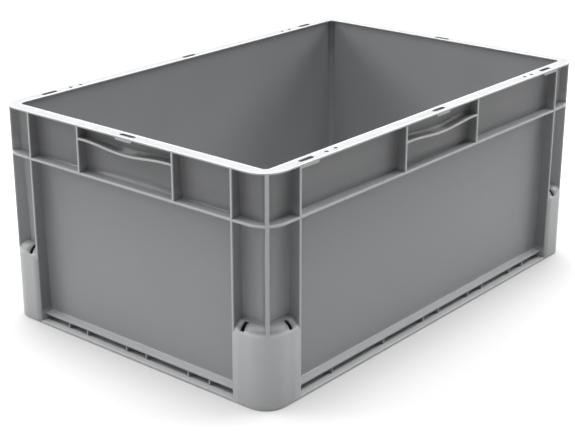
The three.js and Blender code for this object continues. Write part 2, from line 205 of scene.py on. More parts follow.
HALF_X, HALF_Y, HEIGHT = cad_box[1]
RIM_THICK = 1.8 * MM
WALL_THICK = 2.35 * MM
OUTER_RADIUS = 27 * MM
INNER_RADIUS = 6 * MM
WALL_RADIUS = INNER_RADIUS + WALL_THICK
FLOOR_TURN = 5 * MM
FLOOR_MIDDLE = 60 * MM
ARC_STEPS = 12

wall_low, wall_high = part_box("wall_front")
floor_low, floor_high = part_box("floor_panel")
TOP_DEPTH = wall_low.y + HALF_Y
FOOT_DEPTH = wall_high.y + HALF_Y - WALL_THICK
DRAFT = (FOOT_DEPTH - TOP_DEPTH) / (wall_high.z - wall_low.z)


def wall_depth(z):
    """How far the wall's outer face stands behind the outer planes: it grows evenly downwards."""
    return TOP_DEPTH + (wall_high.z - z) * DRAFT


def rounded_ring(half_x, half_y, radius, stops_x=(), stops_y=(), steps=ARC_STEPS):
    """Plan points of rounded rectangles, anticlockwise from the front left, one ring a row.

    A quarter turn about each corner's centre, centre + radius * (cos, sin), and between the
    turns the stops given along x on the long sides and along y on the ends."""
    same_length = np.broadcast_arrays(half_x, half_y, radius)
    half_x, half_y, radius = [np.atleast_1d(values)[:, None] for values in same_length]
    stops_x = np.asarray(stops_x)[None, :] + 0 * half_x
    stops_y = np.asarray(stops_y)[None, :] + 0 * half_y
    pieces = []
    for quarter, (sx, sy) in enumerate([(1, -1), (1, 1), (-1, 1), (-1, -1)]):
        angle = (quarter - 1 + np.linspace(0, 1, steps + 1)[None, :]) * math.pi / 2
        side = [
            (stops_x, -half_y + 0 * stops_x),
            (half_x + 0 * stops_y, stops_y),
            (-stops_x, half_y + 0 * stops_x),
            (-half_x + 0 * stops_y, -stops_y),
        ][quarter]
        pieces.append(np.stack(side, axis=-1))
        turn_x = sx * (half_x - radius) + radius * np.cos(angle)
        turn_y = sy * (half_y - radius) + radius * np.sin(angle)
        pieces.append(np.stack([turn_x, turn_y], axis=-1))
    return np.concatenate(pieces, axis=1)


def raise_rings(plan, z):
    """Plan rings of shape (rows, points, 2) lifted to a height for each row."""
    z = np.asarray(z, float)[:, None, None] + 0 * plan[..., :1]
    return np.concatenate([plan, z], axis=-1)


def reach_outwards(tree, place):
    """How far out a point lies: R on the outer planes and round the corners, and less inside.

    It is |max(q, 0)| + min(max(q.x, q.y), 0), where q is (|x|, |y|) less the half size and
    plus R, and R is the radius of the upright corners."""
    mirrored = add_node(tree, "ShaderNodeVectorMath", {0: place}, operation="ABSOLUTE").outputs[0]
    centre = (HALF_X - OUTER_RADIUS, HALF_Y - OUTER_RADIUS, 0)
    q = add_node(
        tree, "ShaderNodeVectorMath", {0: mirrored, 1: centre}, operation="SUBTRACT"
    ).outputs[0]
    flat = add_node(
        tree, "ShaderNodeVectorMath", {0: q, 1: (1, 1, 0)}, operation="MULTIPLY"
    ).outputs[0]
    beyond = add_node(
        tree, "ShaderNodeVectorMath", {0: flat, 1: (0, 0, 0)}, operation="MAXIMUM"
    ).outputs[0]
    round_part = add_node(
        tree, "ShaderNodeVectorMath", {0: beyond}, operation="LENGTH"
    ).outputs["Value"]
    split = add_node(tree, "ShaderNodeSeparateXYZ", {"Vector": flat})
    larger = add_node(
        tree, "ShaderNodeMath", {0: split.outputs["X"], 1: split.outputs["Y"]}, operation="MAXIMUM"
    ).outputs[0]
    straight_part = add_node(tree, "ShaderNodeMath", {0: larger, 1: 0.0}, operation="MINIMUM")
    return add_node(
        tree, "ShaderNodeMath", {0: round_part, 1: straight_part.outputs[0]}, operation="ADD"
    ).outputs[0]


def blend(tree, factor, first, second):
    """A plain number mixed from first to second by factor; each is a value or a socket."""
    made = add_node(tree, "ShaderNodeMix", {0: factor, 2: first, 3: second}, data_type="FLOAT")
    return made.outputs[0]


def painted_light_by_place(tree, reach, height):
    """The share of the plastic's own colour that a place shows: painted light and painted shade.

    INSIDE_PAINTED_LIGHT holds within the middle of the wall, painted light. Outside it,
    PANEL_PAINTED_LIGHT_AND_SHADE holds up to a wall's thickness off that middle and
    RECESS_PAINTED_SHADE beyond, each going evenly from its first value at
    the floor to its second at SHADE_FROM: painted light low on the panels turning to painted shade
    near the belt rib, and painted shade between the ribs. From there to SHADE_FULL it turns into
    PAINTED_SHADE_ABOVE_BELT, painted shade above the belt rib, and from BASE_FROM down to BASE_FULL
    into BASE_WORN, painted light along the base."""
    above_belt = add_node(
        tree, "ShaderNodeMapRange", {"Value": height, "From Min": SHADE_FROM, "From Max": SHADE_FULL}
    ).outputs["Result"]
    at_base = add_node(
        tree, "ShaderNodeMapRange", {"Value": height, "From Min": BASE_FULL, "From Max": BASE_FROM}
    ).outputs["Result"]
    mid_wall = add_node(
        tree,
        "ShaderNodeMapRange",
        {
            "Value": height,
            "From Min": wall_low.z,
            "From Max": wall_high.z,
            "To Min": OUTER_RADIUS - FOOT_DEPTH - WALL_THICK / 2,
            "To Max": OUTER_RADIUS - TOP_DEPTH - WALL_THICK / 2,
        },
    ).outputs["Result"]
    outside = add_node(
        tree, "ShaderNodeMath", {0: reach, 1: mid_wall}, operation="GREATER_THAN"
    ).outputs[0]
    off_middle = add_node(tree, "ShaderNodeMath", {0: reach, 1: mid_wall}, operation="SUBTRACT")
    off_wall = add_node(
        tree, "ShaderNodeMath", {0: off_middle.outputs[0], 1: WALL_THICK}, operation="GREATER_THAN"
    ).outputs[0]
    on_panels, between_ribs = [
        add_node(
            tree,
            "ShaderNodeMapRange",
            {"Value": height, "From Min": 0.0, "From Max": SHADE_FROM, "To Min": low, "To Max": high},
        ).outputs["Result"]
        for low, high in (PANEL_PAINTED_LIGHT_AND_SHADE, RECESS_PAINTED_SHADE)
    ]
    # Painted light low on the panels and along the base, painted shade between the ribs.
    below_belt = blend(tree, at_base, BASE_WORN, blend(tree, off_wall, on_panels, between_ribs))
    # Painted light inside, painted shade above the belt rib.
    return blend(tree, outside, INSIDE_PAINTED_LIGHT, blend(tree, above_belt, below_belt, PAINTED_SHADE_ABOVE_BELT))


def moulded_polypropylene(name, base, dark, roughness, grain_height, scuff_below=0.0):
    """Injection moulded grey polypropylene with the satin grain of a spark-eroded mould.

    Its colour drifts by a shade over a hand's width, as the pigment flows, and its gloss with
    it. It is painted paler low on the walls, inside and along the base, and painted darker between
    the ribs and above the belt rib: painted light and painted shade. These shares are fitted values,
    not measured on the plastic, and hold the recesses' own shade. Within RUB_AND_LIGHT_DEPTH of the
    outer planes it is paler, partly rubbed and partly painted light, and on the rim's top by
    TOP_WORN_AND_LIT of that, likewise. Under scuff_below, in metres above the floor, fine pale
    scratches from sliding show."""
    made = bpy.data.materials.new(name)
    made.use_nodes = True
    tree = made.node_tree
    tree.nodes.clear()
    place = add_node(tree, "ShaderNodeTexCoord").outputs["Object"]
    flow = add_node(
        tree,
        "ShaderNodeTexNoise",
        {"Vector": place, "Scale": 1 / FLOW_SPACING, "Detail": 3.0, "Roughness": 0.55},
    )
    tint = add_node(tree, "ShaderNodeMix", data_type="RGBA")
    tree.links.new(flow.outputs["Fac"], tint.inputs["Factor"])
    tint.inputs[6].default_value = linear(dark)
    tint.inputs[7].default_value = linear(base)
    height = add_node(tree, "ShaderNodeSeparateXYZ", {"Vector": place}).outputs["Z"]
    reach = reach_outwards(tree, place)
    # Painted light and painted shade, scaled into the colour by place.
    share = painted_light_by_place(tree, reach, height)
    toned = add_node(
        tree, "ShaderNodeVectorMath", {0: tint.outputs[2], "Scale": share}, operation="SCALE"
    ).outputs[0]
    # Paler on the outer planes and the rim's top: partly rubbing, partly painted light.
    outermost = add_node(
        tree,
        "ShaderNodeMapRange",
        {
            "Value": reach,
            "From Min": OUTER_RADIUS - RUB_AND_LIGHT_DEPTH,
            "From Max": OUTER_RADIUS - RUB_AND_LIGHT_DEPTH / 3,
        },
    ).outputs["Result"]
    on_top = add_node(
        tree, "ShaderNodeMath", {0: height, 1: HEIGHT - FLAT_TOP}, operation="GREATER_THAN"
    ).outputs[0]
    top_worn_and_lit = add_node(
        tree, "ShaderNodeMath", {0: on_top, 1: TOP_WORN_AND_LIT}, operation="MULTIPLY"
    ).outputs[0]
    exposed = add_node(
        tree, "ShaderNodeMath", {0: outermost, 1: top_worn_and_lit}, operation="MAXIMUM"
    ).outputs[0]
    paler = add_node(tree, "ShaderNodeMix", data_type="RGBA")
    tree.links.new(exposed, paler.inputs["Factor"])
    tree.links.new(toned, paler.inputs[6])
    paler.inputs[7].default_value = linear(RUBBED_AND_LIT_GREY)
    colour = paler.outputs[2]
    gloss = add_node(
        tree,
        "ShaderNodeMapRange",
        {
            "Value": flow.outputs["Fac"],
            "From Min": FLOW_SPAN[0],
            "From Max": FLOW_SPAN[1],
            "To Min": roughness - GLOSS_DRIFT,
            "To Max": roughness + GLOSS_DRIFT,
        },
    ).outputs["Result"]
    if scuff_below:
        near_floor = add_node(
            tree,
            "ShaderNodeMapRange",
            {"Value": height, "From Min": scuff_below, "From Max": 0.0, "To Min": 0.0, "To Max": 1.0},
        ).outputs["Result"]
        scratches = add_node(
            tree,
            "ShaderNodeTexNoise",
            {"Vector": place, "Scale": 1 / SCRATCH_SPACING, "Detail": 6.0, "Roughness": 0.7},
        ).outputs["Fac"]
        worn = add_node(
            tree,
            "ShaderNodeMapRange",
            {
                "Value": scratches,
                "From Min": SCRATCH_SPAN[0],
                "From Max": SCRATCH_SPAN[1],
                "To Min": 0.0,
                "To Max": SCRATCH_SHARE,
            },
        ).outputs["Result"]
        scuffed = add_node(
            tree, "ShaderNodeMath", {0: near_floor, 1: worn}, operation="MULTIPLY"
        ).outputs[0]
        rubbed = add_node(tree, "ShaderNodeMix", data_type="RGBA")
        tree.links.new(scuffed, rubbed.inputs["Factor"])
        tree.links.new(colour, rubbed.inputs[6])
        rubbed.inputs[7].default_value = linear(SCUFF_GREY)
        colour = rubbed.outputs[2]
    grain = add_node(
        tree,
        "ShaderNodeTexNoise",
        {"Vector": place, "Scale": 1 / GRAIN_SPACING, "Detail": 2.0, "Roughness": 0.6},
    )
    bump = add_node(
        tree,
        "ShaderNodeBump",
        {"Height": grain.outputs["Fac"], "Strength": GRAIN_STRENGTH, "Distance": grain_height},
    )
    shader = add_node(
        tree,
        "ShaderNodeBsdfPrincipled",
        {"Base Color": colour, "Roughness": gloss, "Normal": bump.outputs["Normal"], "IOR": IOR},
    )
    add_node(tree, "ShaderNodeOutputMaterial", {"Surface": shader.outputs["BSDF"]})
    return made


# The grain of the real mould is finer, about 0.3 mm: it is drawn coarser so that it shows.
IOR = 1.49
ROUGHNESS = 0.5
GLOSS_DRIFT = 0.05
GRAIN_SPACING = 0.9 * MM
GRAIN_HEIGHT = 0.06 * MM
GRAIN_STRENGTH = 0.5
FLOW_SPACING = 90 * MM
FLOW_SPAN = (0.3, 0.7)
SCUFF_BELOW = 12 * MM
SCRATCH_SPACING = 1.6 * MM
SCRATCH_SPAN = (0.52, 0.7)
SCRATCH_SHARE = 0.5
SCUFF_GREY = "b9babb"
# Within RUB_AND_LIGHT_DEPTH of the outer planes the colour goes to RUBBED_AND_LIT_GREY, and on the
# rim's top by TOP_WORN_AND_LIT of that: partly rubbing, partly painted light.
RUBBED_AND_LIT_GREY = "979899"
RUB_AND_LIGHT_DEPTH = 2 * MM
FLAT_TOP = 0.03 * MM
TOP_WORN_AND_LIT = 0.25
# Shares of the plastic's colour by place, fitted values: painted shade above the belt rib and between
# the ribs, painted light low on the panels, along the base and inside.
SHADE_FROM = 205 * MM
SHADE_FULL = 219 * MM
PAINTED_SHADE_ABOVE_BELT = 0.62
PANEL_PAINTED_LIGHT_AND_SHADE = (1.15, 0.85)
RECESS_PAINTED_SHADE = (0.74, 0.95)
BASE_WORN = 1.3
BASE_FULL = 13 * MM
BASE_FROM = 18 * MM
INSIDE_PAINTED_LIGHT = 1.13
BODY_GREY = "7f8081"
BODY_SHADE = "77787a"

tub_plastic = moulded_polypropylene(
    "moulded polypropylene, satin", BODY_GREY, BODY_SHADE, ROUGHNESS, GRAIN_HEIGHT
)
foot_plastic = moulded_polypropylene(
    "moulded polypropylene, scuffed foot",
    BODY_GREY,
    BODY_SHADE,
    ROUGHNESS,
    GRAIN_HEIGHT,
    scuff_below=SCUFF_BELOW,
)


def finish_piece(piece, *nodes):
    """Fastens a piece to the container's one body and hides the CAD solids that it stands for."""
    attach(piece, "root")
    if nodes:
        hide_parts(*nodes)


turn = np.linspace(0, math.pi / 2, 9)
turn_depth = FLOOR_TURN * (1 - np.cos(turn))
turn_z = floor_high.z + FLOOR_TURN * (1 - np.sin(turn))
shell_top = HEIGHT - RIM_THICK / 2
underside_z = np.array([floor_low.z, floor_low.z, shell_top])
underside_depth = np.array([FLOOR_MIDDLE, wall_depth(floor_low.z), wall_depth(shell_top)])
inside_z = np.concatenate([[shell_top], turn_z, [floor_high.z]])
inside_depth = np.concatenate(
    [
        [wall_depth(shell_top) + WALL_THICK],
        wall_depth(turn_z) + WALL_THICK + turn_depth,
        [FLOOR_MIDDLE],
    ]
)
inside_radius = np.concatenate([[INNER_RADIUS], INNER_RADIUS - turn_depth, [INNER_RADIUS - FLOOR_TURN]])
shell_z = np.concatenate([underside_z, inside_z])
shell_depth = np.concatenate([underside_depth, inside_depth])
shell_radius = np.concatenate([[WALL_RADIUS] * len(underside_z), inside_radius])
shell_plan = rounded_ring(HALF_X - shell_depth, HALF_Y - shell_depth, shell_radius)
shell_points = raise_rings(shell_plan, shell_z)
rows, columns = shell_points.shape[:2]
shell_faces = [
    *grid_faces(rows, columns, closed_columns=True),
    range(columns),
    range((rows - 1) * columns, rows * columns),
]
tub_shell = mesh_object("tub_shell", shell_points, shell_faces, tub_plastic)
finish_piece(
    tub_shell,
    "floor_panel",
    *[f"wall_{side}" for side in ("front", "back", "left", "right")],
)

# --- Rim ------------------------------------------------------------------------------------
# The flat flange round the open top, moulded with the tub. Eight slots take the hooks of a lid
# or a strap, and eight small round holes the pins of a hinged lid. Its edges are just broken.

rim_low, rim_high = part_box("rim_front")
RIM_WIDTH = rim_high.y - rim_low.y
RIM_EDGE = 0.15 * MM
SLOT_HALF = 11 * MM
SLOT_WIDTH = 5.5 * MM
SLOT_X = 232.5 * MM
PIN_X = (185 * MM, 200 * MM)
PIN_RADIUS = 2.25 * MM
SIDES = ("front", "right", "back", "left")


def on_side(side, along, depth):
    """Plan points of a side: along counts from its middle and depth inwards from its outer plane."""
    along, depth = np.broadcast_arrays(np.asarray(along, float), np.asarray(depth, float))
    x, y = {
        "front": (along, depth - HALF_Y),
        "back": (-along, HALF_Y - depth),
        "right": (HALF_X - depth, along),
        "left": (depth - HALF_X, -along),
    }[side]
    return np.stack([x, y], axis=-1)


def flat_plate(name, outlines, z0, z1, edge, material):
    """A level plate between closed plan outlines, the inner ones holes, its edges rounded off."""
    drawing = bpy.data.curves.new(name, "CURVE")
    drawing.dimensions = "2D"
    drawing.fill_mode = "BOTH"
    drawing.extrude = (z1 - z0) / 2 - edge
    drawing.bevel_depth = edge
    drawing.bevel_resolution = 2
    drawing.offset = -edge
    for outline in outlines:
        spline = drawing.splines.new("POLY")
        spline.points.add(len(outline) - 1)
        flat = np.zeros((len(outline), 4))
        flat[:, :2] = outline
        flat[:, 3] = 1
        spline.points.foreach_set("co", flat.ravel())
        spline.use_cyclic_u = True
    drawn = bpy.data.objects.new(name, drawing)
    bpy.context.scene.collection.objects.link(drawn)
    bpy.context.view_layer.update()
    filled = bpy.data.meshes.new_from_object(drawn.evaluated_get(bpy.context.evaluated_depsgraph_get()))
    points = np.empty(3 * len(filled.vertices))
    filled.vertices.foreach_get("co", points)
    points = points.reshape(-1, 3) + (0, 0, (z0 + z1) / 2)
    faces = [list(face.vertices) for face in filled.polygons]
    bpy.data.objects.remove(drawn)
    bpy.data.meshes.remove(filled)
    bpy.data.curves.remove(drawing)
    return mesh_object(name, points, faces, material)


def obround(side, along, half, width):
    """Plan outline of a slot with round ends, half long each way from its middle on the rim."""
    ring = rounded_ring(half, width / 2, width / 2)[0]
    return on_side(side, along + ring[:, 0], RIM_WIDTH / 2 + ring[:, 1])


slots = [(side, x) for side in ("front", "back") for x in (-SLOT_X, 0, SLOT_X)]
slots += [("left", 0.0), ("right", 0.0)]
pins = [(side, sign * x) for side in ("front", "back") for x in PIN_X for sign in (-1, 1)]
rim_outlines = [
    rounded_ring(HALF_X, HALF_Y, OUTER_RADIUS, steps=24)[0],
    rounded_ring(HALF_X - RIM_WIDTH, HALF_Y - RIM_WIDTH, INNER_RADIUS, steps=24)[0],
    *[obround(side, at, SLOT_HALF, SLOT_WIDTH) for side, at in slots],
    *[obround(side, at, PIN_RADIUS, 2 * PIN_RADIUS) for side, at in pins],
]
rim = flat_plate("rim", rim_outlines, HEIGHT - RIM_THICK, HEIGHT, RIM_EDGE, tub_plastic)
finish_piece(rim, *[f"rim_{side}" for side in SIDES])

# --- Slot collars ---------------------------------------------------------------------------
# Under every slot the rim is thickened by a short collar that hangs from it, its ends sloping
# in. Beside a corner rib the collar runs straight into the rib.

COLLAR_DROP = 2.9 * MM
COLLAR_HALF = 14.4 * MM
COLLAR_SLOPE = 2.6 * MM
COLLAR_FRONT = 0.5 * MM
COLLAR_BACK = 12.5 * MM
COLLAR_CORNER = 1.2 * MM
COLLAR_EDGE = 0.3 * MM
COLLAR_INTO_RIB = 1 * MM

rib_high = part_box("corner_post_front_left")[1]
U_END = rib_high.x + HALF_X
V_END = rib_high.y + HALF_Y


def slot_collar(name, side, at, rib_reach):
    """Rings of a rounded block and of the slot through it, joined at the top and bottom.

    The outer ring's ends move in by a share of the slope as it goes down; rib_reach, if given,
    is where the end nearer the corner stops, and that end stays upright."""
    low = HEIGHT - RIM_THICK - COLLAR_DROP
    high = HEIGHT - RIM_THICK / 2
    middle = (COLLAR_FRONT + COLLAR_BACK) / 2
    block = rounded_ring(1.0, (COLLAR_BACK - COLLAR_FRONT) / 2, COLLAR_CORNER, steps=6)[0]
    hole = rounded_ring(SLOT_HALF, SLOT_WIDTH / 2, SLOT_WIDTH / 2, steps=6)[0]
    lengths = []
    for slope in (0, COLLAR_SLOPE):
        reach = {sign: COLLAR_HALF - slope for sign in (-1, 1)}
        if rib_reach:
            reach[int(math.copysign(1, at))] = rib_reach - abs(at)
        right = block[:, 0] > 0
        lengths.append(np.where(right, block[:, 0] - 1 + reach[1], block[:, 0] + 1 - reach[-1]))
    plans = [
        on_side(side, at + lengths[0], middle + block[:, 1]),
        on_side(side, at + lengths[1], middle + block[:, 1]),
        on_side(side, at + hole[:, 0], RIM_WIDTH / 2 + hole[:, 1]),
        on_side(side, at + hole[:, 0], RIM_WIDTH / 2 + hole[:, 1]),
    ]
    points = raise_rings(np.stack(plans), [high, low, low, high])
    faces = grid_faces(*points.shape[:2], closed_rows=True, closed_columns=True)
    collar = mesh_object(name, points, faces, tub_plastic)
    soften = collar.modifiers.new("edges", "BEVEL")
    soften.width = COLLAR_EDGE
    soften.segments = 2
    finish_piece(collar)


rib_reach = HALF_X - U_END + COLLAR_INTO_RIB
for number, (side, at) in enumerate(slots, start=1):
    slot_collar(f"slot_collar_{number}", side, at, rib_reach if at else None)

# --- Belt rib -------------------------------------------------------------------------------
# The horizontal stiffening rib right round the tub, flush with the rim's edge. Like all the
# ribs it turns into the wall with a fillet, and under the two end grips that fillet grows into
# a soft cove, highest in the middle, so that knuckles clear the corner behind it.

RIB_EDGE = 0.25 * MM
RIB_ROOT = 0.5 * MM
RIB_SINK = 0.8 * MM
COVE_SIDE = 3.2 * MM
COVE_MIDDLE = 8.5 * MM

belt_low, belt_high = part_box("belt_rib_front")
grip_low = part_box("grip_rib_left_1")[0]
COVE_HALF = grip_low.y


def rib(name, outer, root, sideways, thick, root_left=RIB_ROOT, root_right=RIB_ROOT, closed=False):
    """A rib carried along a path from its free edge, outer, to its root on the wall.

    In the section, w counts sideways from the rib's middle and d inwards from the free edge.
    The free edge has quarter circles of RIB_EDGE. Near the root, at depth D, each side leaves
    the wall on a quarter circle of radius R: d = D - R + R cos b, w = thick / 2 + R - R sin b."""
    outer, root = np.broadcast_arrays(outer, root)
    stops = len(outer)
    inward = root - outer
    depth = np.linalg.norm(inward, axis=1)[:, None]
    inward = inward / depth
    b = np.linspace(0, math.pi / 2, 8)[None, :]
    half = thick / 2

    def flank(radius):
        radius = np.broadcast_to(radius, stops)[:, None]
        sunk = np.concatenate([depth + RIB_SINK, half + radius], axis=1)[:, :, None]
        fillet = np.stack(
            [depth - radius + radius * np.cos(b), half + radius - radius * np.sin(b)], axis=2
        )
        edge = np.stack(
            [RIB_EDGE - RIB_EDGE * np.sin(b), half - RIB_EDGE + RIB_EDGE * np.cos(b)], axis=2
        )
        return np.concatenate([sunk.transpose(0, 2, 1), fillet, edge + 0 * radius[:, :, None]], axis=1)

    right = flank(root_right)
    left = flank(root_left)[:, ::-1] * (1, -1)
    section = np.concatenate([right, left], axis=1)
    points = (
        outer[:, None, :]
        + inward[:, None, :] * section[:, :, :1]
        + np.broadcast_to(sideways, outer.shape)[:, None, :] * section[:, :, 1:]
    )
    faces = list(grid_faces(*points.shape[:2], closed_rows=closed, closed_columns=True))
    if not closed:
        width = points.shape[1]
        faces += [range(width), range((stops - 1) * width, stops * width)]
    return mesh_object(name, points, faces, tub_plastic)


belt_z = (belt_low.z + belt_high.z) / 2
cove_stops = np.linspace(-COVE_HALF, COVE_HALF, 17)
belt_depth = wall_depth(belt_z)
belt_outer = rounded_ring(HALF_X, HALF_Y, OUTER_RADIUS, stops_y=cove_stops)[0]
belt_root = rounded_ring(HALF_X - belt_depth, HALF_Y - belt_depth, WALL_RADIUS, stops_y=cove_stops)[0]
along_end = np.abs(belt_root[:, 1]) / COVE_HALF
in_cove = (along_end <= 1.001) & (np.abs(belt_root[:, 0]) > HALF_X - 2 * belt_depth)
cove = np.where(in_cove, COVE_SIDE + (COVE_MIDDLE - COVE_SIDE) * (1 - along_end**2), RIB_ROOT)
belt_rib = rib(
    "belt_rib",
    raise_rings(belt_outer[None], [belt_z])[0],
    raise_rings(belt_root[None], [belt_z])[0],
    (0, 0, 1),
    belt_high.z - belt_low.z,
    root_right=cove,
    closed=True,
)
finish_piece(belt_rib, *[f"belt_rib_{side}" for side in SIDES])

# --- Upright ribs ---------------------------------------------------------------------------
# Blades that stiffen the walls: one on each side of every corner, from the base to the rim,
# one on the corner's diagonal down to the foot, and a short one at each end of every grip. They
# stand a hair behind the belt rib, the feet and the rim's edge, so that no two faces share a plane.

RIB_THICK = 2.4 * MM
RIB_STEP = 0.05 * MM
DIAGONAL_THICK = 4.2 * MM
SHOULDER_Z = 80 * MM
SHOULDER_RISE = 12.8 * MM
POST_SINK = 1 * MM
CORNERS = [
    ("front_left", -1, -1),
    ("front_right", 1, -1),
    ("back_left", -1, 1),
    ("back_right", 1, 1),
]
rib_top = HEIGHT - RIM_THICK / 2


def side_rib(name, side, at, z0, z1):
    """An upright rib square to a side: its root leans in with the wall's draft."""
    z = np.array([z0, z1])
    outer = raise_rings(on_side(side, [at, at], RIB_STEP)[:, None], z)[:, 0]
    root = raise_rings(on_side(side, [at, at], wall_depth(z))[:, None], z)[:, 0]
    sideways = np.append(on_side(side, 1, 0) - on_side(side, 0, 0), 0)
    return rib(name, outer, root, sideways, RIB_THICK)


def at_corner(sx, sy, u, v, z):
    """Points counted inwards from a corner's two outer planes, u along the long side."""
    u, v, z = np.broadcast_arrays(u, v, z)
    return np.stack([sx * (HALF_X - u), sy * (HALF_Y - v), z], axis=-1)


CORNER_AT = {"front": HALF_X - U_END + RIB_THICK / 2, "left": HALF_Y - V_END + RIB_THICK / 2}
CORNER_AT |= {"back": CORNER_AT["front"], "right": CORNER_AT["left"]}
for side in SIDES:
    for number, sign in ((1, -1), (2, 1)):
        finish_piece(side_rib(f"corner_rib_{side}_{number}", side, sign * CORNER_AT[side], 0, rib_top))
        node = f"grip_rib_{side}_{number}"
        lowest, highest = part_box(node)
        along = (lowest + highest) / 2
        at = sign * abs(along.x if side in ("front", "back") else along.y)
        finish_piece(side_rib(node + "_moulded", side, at, belt_z, rib_top), node)

for corner, sx, sy in CORNERS:
    z = np.array([SHOULDER_Z - POST_SINK, rib_top])
    edge = OUTER_RADIUS * (1 - math.sqrt(0.5))
    root = wall_depth(z) + WALL_RADIUS * (1 - math.sqrt(0.5))
    diagonal_rib = rib(
        f"diagonal_rib_{corner}",
        at_corner(sx, sy, edge, edge, z),
        at_corner(sx, sy, root, root, z),
        np.array([sx, -sy, 0]) * math.sqrt(0.5),
        DIAGONAL_THICK,
    )
    finish_piece(diagonal_rib, f"corner_post_{corner}")

# --- Grip bars ------------------------------------------------------------------------------
# The lip that fingers pull up against, one in each side, moulded with the wall and meeting it in
# a cove on top. It sags in the middle by a soft wave: the height falls by half the sag times
# (1 + cos) over the bar's middle stretch.

BAR_THICK = 2.2 * MM
BAR_COVE = 5 * MM
SAG_HALF = 64 * MM

for side in SIDES:
    bar_low, bar_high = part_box(f"grip_bar_{side}")
    size = bar_high - bar_low
    reach = max(size.x, size.y) / 2 + RIB_THICK / 4
    along = np.linspace(-reach, reach, 41)
    sag = bar_high.z - BAR_THICK - bar_low.z
    wave = 0.5 * (1 + np.cos(math.pi * np.minimum(np.abs(along) / SAG_HALF, 1)))
    z = bar_high.z - BAR_THICK / 2 - sag * wave
    outer = raise_rings(on_side(side, along, 2 * RIB_STEP)[:, None], z)[:, 0]
    root = raise_rings(on_side(side, along, wall_depth(z))[:, None], z)[:, 0]
    grip_bar = rib(f"grip_lip_{side}", outer, root, (0, 0, 1), BAR_THICK, root_right=BAR_COVE)
    finish_piece(grip_bar, f"grip_bar_{side}")

# --- Feet -----------------------------------------------------------------------------------
# Hollow corner feet, flush with the ribs, closed above by a rounded shoulder. Two narrow slots
# across each shoulder let water and dust out. Sliding on shelves and floors scuffs their lower
# edge. The sole is a flat plate with one drain hole.

FOOT_SKIN = 2.4 * MM
SHOULDER_DEPTH = 13.2 * MM
SOLE_TURN = 1.2 * MM
SOLE_THICK = 3.2 * MM
DRAIN_ALONG = 36.5 * MM
DRAIN_WIDTH = 5.4 * MM
DRAIN_FROM = 0.6 * MM
DRAIN_TO = 10 * MM
DRAIN_RADIUS = 3 * MM
SOLE_LAP = 6 * MM
SOLE_LOW = 0.1 * MM
SOLE_EDGE = 0.2 * MM
HAIR = 1e-6


def foot_rows():
    """Inset and height of the foot's skin, row by row, from under the sole up to the wall.

    A quarter circle of SOLE_TURN round the bottom edge, upright to the shoulder, then
    inset = depth * (1 - cos t) and height = shoulder + rise * sin t, with rows at both ends of
    the drain slots."""
    t = np.linspace(0, math.pi / 2, 6)
    shoulder = np.linspace(0, math.pi / 2, 11)
    ends = [math.acos(1 - stop / SHOULDER_DEPTH) for stop in (DRAIN_FROM, DRAIN_TO)]
    shoulder = np.sort(np.append(shoulder, ends))
    shoulder_inset = SHOULDER_DEPTH * (1 - np.cos(shoulder))
    shoulder_z = SHOULDER_Z + SHOULDER_RISE * np.sin(shoulder)
    inset = np.concatenate([[SOLE_LAP], SOLE_TURN * (1 - np.sin(t)), shoulder_inset])
    z = np.concatenate([[0], SOLE_TURN * (1 - np.cos(t)), shoulder_z])
    return inset, z


def foot_skin(corner, sx, sy):
    """The foot's outer skin: foot_rows carried along one long side, round the corner and along
    the end, then a fillet of RIB_ROOT up to the wall, less the faces of the two drain slots.

    Round the corner a row runs on a quarter circle about a centre that lies the row's inset and
    radius in from both outer planes."""
    inset, z = foot_rows()
    top_z = SHOULDER_Z + SHOULDER_RISE
    b = np.linspace(0, math.pi / 2, 6)
    root_z = top_z + RIB_ROOT * (1 - np.cos(b))
    root_inset = wall_depth(root_z) - RIB_ROOT + RIB_ROOT * np.sin(b)
    radius = np.concatenate([OUTER_RADIUS - inset, np.full(len(b), WALL_RADIUS)])
    radius[len(inset):] += RIB_ROOT * (1 - np.sin(b))
    inset = np.concatenate([inset, root_inset])
    z = np.concatenate([z, root_z])
    slot_edges = [DRAIN_ALONG + DRAIN_WIDTH / 2, DRAIN_ALONG - DRAIN_WIDTH / 2]
    long_stops = np.array([U_END - RIB_EDGE, *slot_edges])
    end_stops = np.array([*slot_edges[::-1], V_END - RIB_EDGE])
    angle = -math.pi / 2 - np.linspace(0, math.pi / 2, 2 * ARC_STEPS + 1)
    column = np.ones_like(inset)[:, None]
    centre = (inset + radius)[:, None]
    turn_u = centre + radius[:, None] * np.cos(angle)
    turn_v = centre + radius[:, None] * np.sin(angle)
    u = np.concatenate([long_stops * column, turn_u, inset[:, None] + 0 * end_stops], axis=1)
    v = np.concatenate([inset[:, None] + 0 * long_stops, turn_v, end_stops * column], axis=1)
    points = at_corner(sx, sy, u, v, z[:, None])
    rows, columns = points.shape[:2]
    faces = grid_faces(rows, columns)
    row, column = np.divmod(faces[:, 0], columns)
    slot_turns = [math.acos(1 - stop / SHOULDER_DEPTH) for stop in (DRAIN_FROM, DRAIN_TO)]
    slot_low, slot_high = SHOULDER_Z + SHOULDER_RISE * np.sin(slot_turns)
    in_slot = (z[row] > slot_low - HAIR) & (z[row] < slot_high - HAIR)
    in_slot &= (column == 1) | (column == columns - 3)
    skin = mesh_object(f"foot_skin_{corner}", points, faces[~in_slot], foot_plastic)
    thicken = skin.modifiers.new("skin", "SOLIDIFY")
    thicken.thickness = FOOT_SKIN
    thicken.offset = -1
    return skin


